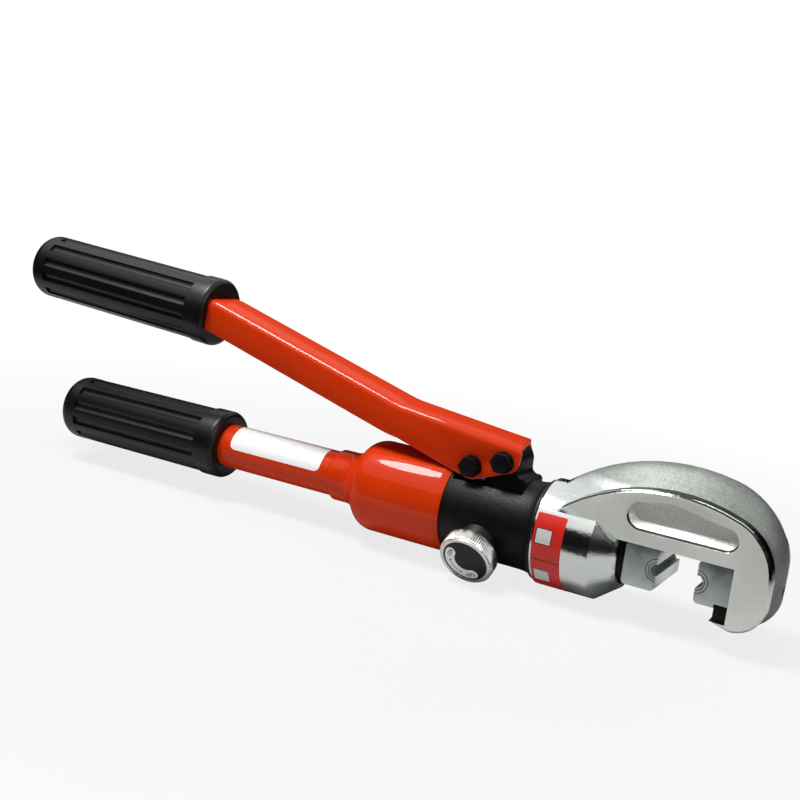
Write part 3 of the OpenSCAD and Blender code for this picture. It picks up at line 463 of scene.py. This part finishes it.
def film(name, x0, x1, a0, a1, radius, corner, finish, lift=0.0):
    """A film with round corners about the tool's axis, in mm, from angle a0 up to a1 above the -Y side."""
    length = radius * radians(a1 - a0)
    points = []
    steps = corner_steps(length, corner, FILM_STEPS)
    for t in steps:
        edge = max(0.0, corner - min(t, length - t))
        inset = corner - sqrt(max(0.0, corner * corner - edge * edge))
        angle = radians(a0) + t / radius
        reach = (radius + lift) * MM + FILM_T
        for j in range(FILM_COLUMNS):
            x = x0 + inset + (x1 - x0 - 2 * inset) * j / (FILM_COLUMNS - 1)
            points.append((HEAD_X + x * MM, AXIS_Y - reach * cos(angle), AXIS_Z + reach * sin(angle)))
    return add_piece(name, points, strips(len(steps), FILM_COLUMNS), finish, "frame")


# The red band on the press cylinder, in mm from its back end and degrees above the -Y side
BAND_X0 = 1.4
BAND_X1 = 12.6
BAND_LOW = -76
BAND_HIGH = 32
LINE_AT = -18.1
PANEL_X0 = 2.6
PANEL_X1 = 8.3
PANEL_ANGLES = [(0.2, 15.2), (-48, -31)]
PANEL_EDGE = 0.3
PANEL_EDGE_ANGLE = 0.8
LINE_INSET = 0.1
LINE_HALF_ANGLE = 0.5
BAND_CORNER = 0.8
LINE_CORNER = 0.1
PANEL_EDGE_CORNER = 0.3
PANEL_CORNER = 0.2
film("band_label", BAND_X0, BAND_X1, BAND_LOW, BAND_HIGH, CYLINDER_R, BAND_CORNER, FILM_RED)
film(
    "band_line", BAND_X0 + LINE_INSET, BAND_X1 - LINE_INSET, LINE_AT - LINE_HALF_ANGLE,
    LINE_AT + LINE_HALF_ANGLE, CYLINDER_R, LINE_CORNER, FILM_DARK, PRINT_LIFT)
for count, (low, high) in enumerate(PANEL_ANGLES):
    film(
        "band_panel_edge_%d" % count, PANEL_X0 - PANEL_EDGE, PANEL_X1 + PANEL_EDGE,
        low - PANEL_EDGE_ANGLE, high + PANEL_EDGE_ANGLE,
        CYLINDER_R, PANEL_EDGE_CORNER, FILM_DARK, PRINT_LIFT)
    film(
        "band_panel_%d" % count, PANEL_X0, PANEL_X1, low, high,
        CYLINDER_R, PANEL_CORNER, FILM_GREY, 2 * PRINT_LIFT)

# The white label on the handle tube, in the same measures
TAG_X0 = -141.5
TAG_X1 = -97
TAG_LOW = 7
TAG_HIGH = 99
TAG_CORNER = 2.6
film("tube_label", TAG_X0, TAG_X1, TAG_LOW, TAG_HIGH, TUBE_R, TAG_CORNER, FILM_WHITE)

# The knob's face: a label round its left and lower side, with ON, OFF and a line between two dots
KNOB_TILT = radians(29)
KNOB_X = -21.7
KNOB_REACH = 26.7
PRINT_R = 6.2
PRINT_OUT = 0.06
WORD_SIZE = 2.3
KNOB_OUT = Vector((0, -cos(KNOB_TILT), -sin(KNOB_TILT)))
KNOB_UP = Vector((0, -sin(KNOB_TILT), cos(KNOB_TILT)))
KNOB_RIGHT = Vector((1, 0, 0))
KNOB_FACE = Vector((HEAD_X + KNOB_X * MM, AXIS_Y, AXIS_Z)) + KNOB_OUT * KNOB_REACH * MM


def on_knob(u, v, lift):
    """A point on the knob's face, in mm to the right, up and out."""
    return KNOB_FACE + (KNOB_RIGHT * u + KNOB_UP * v + KNOB_OUT * lift) * MM


END_STEPS = 8
ARC_STEPS = 32
ARC_SIDES = (-1, -0.5, 0, 0.5, 1)


def arc_film(name, radius, half, start, end, lift, finish):
    """A film along an arc of the knob's face, with round ends."""
    rows = []
    reach = half / radius
    for i in range(END_STEPS + 1):
        t = sin(pi / 2 * (i / END_STEPS - 1))
        rows.append((radians(start) + reach * t, half * sqrt(max(0.0, 1 - t * t))))
    for i in range(1, ARC_STEPS + 1):
        rows.append((radians(start) + radians(end - start) * i / ARC_STEPS, half))
    for i in range(1, END_STEPS + 1):
        t = sin(pi / 2 * i / END_STEPS)
        rows.append((radians(end) + reach * t, half * sqrt(max(0.0, 1 - t * t))))
    points = []
    for angle, width in rows:
        for side in ARC_SIDES:
            r = radius + side * width
            points.append(on_knob(r * cos(angle), r * sin(angle), lift))
    return add_piece(name, points, strips(len(rows), len(ARC_SIDES)), finish, "knob")


def knob_word(name, text, angle, size):
    """A word on the knob's face, with the tops of its letters outwards."""
    curve = bpy.data.curves.new(name, "FONT")
    curve.body = text
    curve.size = size * MM
    curve.align_x = "CENTER"
    curve.align_y = "CENTER"
    curve.extrude = 0.01 * MM
    curve.materials.append(FILM_DARK)
    out = KNOB_RIGHT * cos(angle) + KNOB_UP * sin(angle)
    along = KNOB_RIGHT * sin(angle) - KNOB_UP * cos(angle)
    piece = bpy.data.objects.new(name, curve)
    turn = Matrix((along, out, KNOB_OUT)).transposed().to_4x4()
    middle = on_knob(PRINT_R * cos(angle), PRINT_R * sin(angle), 2 * PRINT_OUT)
    piece.matrix_world = Matrix.Translation(middle) @ turn
    bpy.context.scene.collection.objects.link(piece)
    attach(piece, "knob")


arc_film("knob_label", PRINT_R, 1.9, 150, 297, PRINT_OUT, FILM_WHITE)
arc_film("knob_dot", PRINT_R, 0.35, 191, 193, 2 * PRINT_OUT, FILM_DARK)
arc_film("knob_arrow", PRINT_R, 0.1, 202, 240, 2 * PRINT_OUT, FILM_DARK)
arc_film("knob_mark", PRINT_R, 0.35, 247, 249, 2 * PRINT_OUT, FILM_RED)
knob_word("knob_word_on", "ON", radians(156), WORD_SIZE)
knob_word("knob_word_off", "OFF", radians(287), WORD_SIZE)

# Rings on the near faces of the dies round their nests, in mm
RING_RADII = (4.0, 2.9)
RING_HALF = 0.14
RING_STEPS = 24
RING_LIFT = 0.02
MOVING_X = 46.2
FIXED_X = 60.0


def die_ring(name, node_name, x, radius, start, end, body):
    """A ring on a die's near face, from angle start to end about the nest."""
    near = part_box(node_name)[0][1]
    points = []
    for i in range(RING_STEPS + 1):
        angle = radians(start + (end - start) * i / RING_STEPS)
        for r in (radius - RING_HALF, radius + RING_HALF):
            across = HEAD_X + (x + r * cos(angle)) * MM
            points.append((across, near - RING_LIFT * MM, AXIS_Z + r * sin(angle) * MM))
    add_piece(name, points, strips(RING_STEPS + 1, 2), FILM_DARK, body)


for count, radius in enumerate(RING_RADII):
    die_ring("moving_ring_%d" % count, "moving_die", MOVING_X, radius, 93, 267, "ram_group")
    die_ring("fixed_ring_%d" % count, "fixed_die", FIXED_X, radius, 87, -87, "frame")

# Floor: plain paper near the tool that runs into the white ground
FLOOR_HALF = 3.0
FLOOR_Z = -0.0002
NEAR_R = 0.16
FAR_R = 0.4
NEAR_WHITE = 0.8
FLOOR_MIRRORED = 0.24
floor_mesh = bpy.data.meshes.new("floor")
floor_corners = [(x * FLOOR_HALF, y * FLOOR_HALF, 0) for x, y in ((-1, -1), (1, -1), (1, 1), (-1, 1))]
floor_mesh.from_pydata(floor_corners, [], [(0, 1, 2, 3)])
floor = bpy.data.objects.new("floor", floor_mesh)
floor.location.z = FLOOR_Z
bpy.context.scene.collection.objects.link(floor)
floor_mat, floor_tree, floor_shader = new_material("floor_paper")
put(floor_shader.inputs["Base Color"], blend(
    floor_tree, noise(floor_tree, 30), (0.5, 0.5, 0.5, 1), (0.53, 0.53, 0.53, 1)))
floor_shader.inputs["Roughness"].default_value = 0.9
white = floor_tree.nodes.new("ShaderNodeEmission")
white.inputs["Strength"].default_value = 1.0
away = floor_tree.nodes.new("ShaderNodeVectorMath")
away.operation = "LENGTH"
put(away.inputs[0], place(floor_tree))
fade = span(floor_tree, away.outputs["Value"], NEAR_R, FAR_R, NEAR_WHITE, 1.0)
mixed = floor_tree.nodes.new("ShaderNodeMixShader")
put(mixed.inputs[0], math(floor_tree, "MULTIPLY", fade, seen_rays(floor_tree, FLOOR_MIRRORED)))
put(mixed.inputs[1], floor_shader.outputs[0])
put(mixed.inputs[2], white.outputs[0])
put(floor_tree.nodes["Material Output"].inputs["Surface"], mixed.outputs[0])
floor_mesh.materials.append(floor_mat)


# Cloth round the stage and on it, black in front and grey below, which shows in reflections only
def cloth(name, shade):
    """Matt cloth of one grey, a little uneven."""
    mat, tree, shader = new_material(name)
    dark = (shade, shade, shade, 1)
    light = (1.6 * shade, 1.6 * shade, 1.6 * shade, 1)
    put(shader.inputs["Base Color"], blend(tree, noise(tree, 4), dark, light))
    shader.inputs["Roughness"].default_value = 1.0
    shader.inputs["Specular IOR Level"].default_value = 0.0
    return mat


BLACK_CLOTH = cloth("black_cloth", 0.012)
GREY_CLOTH = cloth("grey_cloth", 0.42)


def cloth_card(name, mat, points, faces):
    """A piece of cloth that only reflections see."""
    mesh = bpy.data.meshes.new(name)
    mesh.from_pydata(points, [], faces)
    mesh.materials.append(mat)
    card = bpy.data.objects.new(name, mesh)
    bpy.context.scene.collection.objects.link(card)
    card.visible_camera = False
    card.visible_diffuse = False
    card.visible_shadow = False


WALL_R = 0.33
WALL_H = 0.21
WALL_STEPS = 64
CARD_Y = -0.075
ring = [2 * pi * i / WALL_STEPS for i in range(WALL_STEPS + 1)]
rim_points = [(WALL_R * sin(a), -WALL_R * cos(a), z) for a in ring for z in (0.0, WALL_H)]
front_points = [(x, y, 0.0) for x in (-WALL_R, WALL_R) for y in (-WALL_R, CARD_Y)]
below_points = [(x, y, 0.0) for x in (-WALL_R, WALL_R) for y in (CARD_Y, WALL_R)]
cloth_card("black_wall", BLACK_CLOTH, rim_points, strips(WALL_STEPS + 1, 2))
cloth_card("black_floor", BLACK_CLOTH, front_points, [(0, 2, 3, 1)])
cloth_card("grey_floor", GREY_CLOTH, below_points, [(0, 2, 3, 1)])

# Light
SKY_LIGHT = 0.17
world = bpy.data.worlds.new("studio")
bpy.context.scene.world = world
world.use_nodes = True
world_tree = world.node_tree
background = world_tree.nodes["Background"]
background.inputs["Color"].default_value = (1, 1, 1, 1)
put(background.inputs["Strength"], span(world_tree, seen_rays(world_tree), 0, 1, SKY_LIGHT, 1.0))


def area_light(name, place_at, look_at, size, power):
    """A round lamp that looks at a point."""
    lamp = bpy.data.lights.new(name, "AREA")
    lamp.shape = "DISK"
    lamp.size = size
    lamp.energy = power
    piece = bpy.data.objects.new(name, lamp)
    piece.location = place_at
    piece.rotation_euler = (Vector(look_at) - Vector(place_at)).to_track_quat("-Z", "Y").to_euler()
    bpy.context.scene.collection.objects.link(piece)


MIDDLE = (0.0, 0.0, 0.05)
KEY_AT = (-0.3, -0.24, 0.95)
KEY_SIZE = 0.36
KEY_POWER = 11
FILL_AT = (1.0, -0.2, 0.5)
FILL_SIZE = 0.5
FILL_POWER = 3.2
area_light("key_light", KEY_AT, MIDDLE, KEY_SIZE, KEY_POWER)
area_light("fill_light", FILL_AT, MIDDLE, FILL_SIZE, FILL_POWER)

# Camera, as the tool is seen in the picture
AZIMUTH = radians(27.71)
ELEVATION = radians(10.0)
ROLL = radians(7.55)
DISTANCE = 0.476
LENS_MM = 54.47
SENSOR_MM = 36
BEHIND_HEAD = 0.0692289
ABOVE_AXIS = 0.0356201
TARGET = Vector((HEAD_X - BEHIND_HEAD, AXIS_Y, AXIS_Z + ABOVE_AXIS))
back = Vector((sin(AZIMUTH) * cos(ELEVATION), -cos(AZIMUTH) * cos(ELEVATION), sin(ELEVATION)))
right = Vector((cos(AZIMUTH), sin(AZIMUTH), 0))
up = back.cross(right)
side = right * cos(ROLL) + up * sin(ROLL)
top = up * cos(ROLL) - right * sin(ROLL)
camera_data = bpy.data.cameras.new("camera")
camera_data.lens = LENS_MM
camera_data.sensor_width = SENSOR_MM
camera_data.clip_start = 0.01
camera_data.dof.use_dof = False
camera = bpy.data.objects.new("camera", camera_data)
turned = Matrix((side, top, back)).transposed().to_4x4()
camera.matrix_world = Matrix.Translation(TARGET + back * DISTANCE) @ turned
bpy.context.scene.collection.objects.link(camera)
bpy.context.scene.camera = camera
bpy.context.scene.view_settings.view_transform = "Standard"
